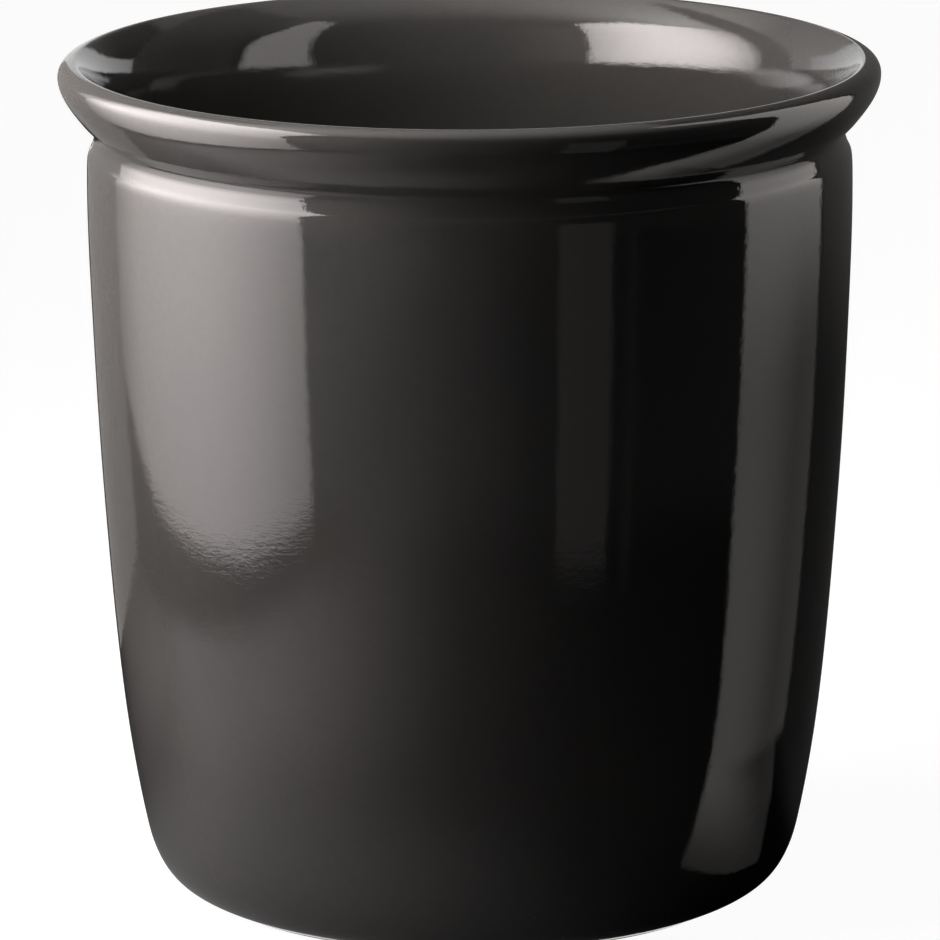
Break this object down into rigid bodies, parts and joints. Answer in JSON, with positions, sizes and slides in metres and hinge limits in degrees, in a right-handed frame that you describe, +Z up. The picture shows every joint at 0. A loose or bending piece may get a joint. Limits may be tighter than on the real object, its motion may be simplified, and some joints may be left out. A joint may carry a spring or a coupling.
{
  "type": "pickle crock",
  "caption": "Open round stoneware crock with a rolled rim, a groove below it and a slightly tapering wall, glossy charcoal glaze inside and out, standing on a dry foot ring.",
  "frame": {"origin": "centre of the foot ring's flat face, on the surface the crock stands on", "axes": "+Z up along the axis the crock was turned on; the crock is round, so +X and +Y are any two level directions at right angles, with -Y towards the picture's camera"},
  "size_m": [0.19, 0.19, 0.1957],
  "materials": {
    "glaze": "glossy charcoal glaze with a fine orange-peel skin",
    "clay": "bare fired buff stoneware, matt and slightly gritty"
  },
  "bodies": {
    "root": {"stoneware_body": "clay", "glaze_coat": "glaze", "underside_glaze": "glaze"}
  },
  "joints": []
}
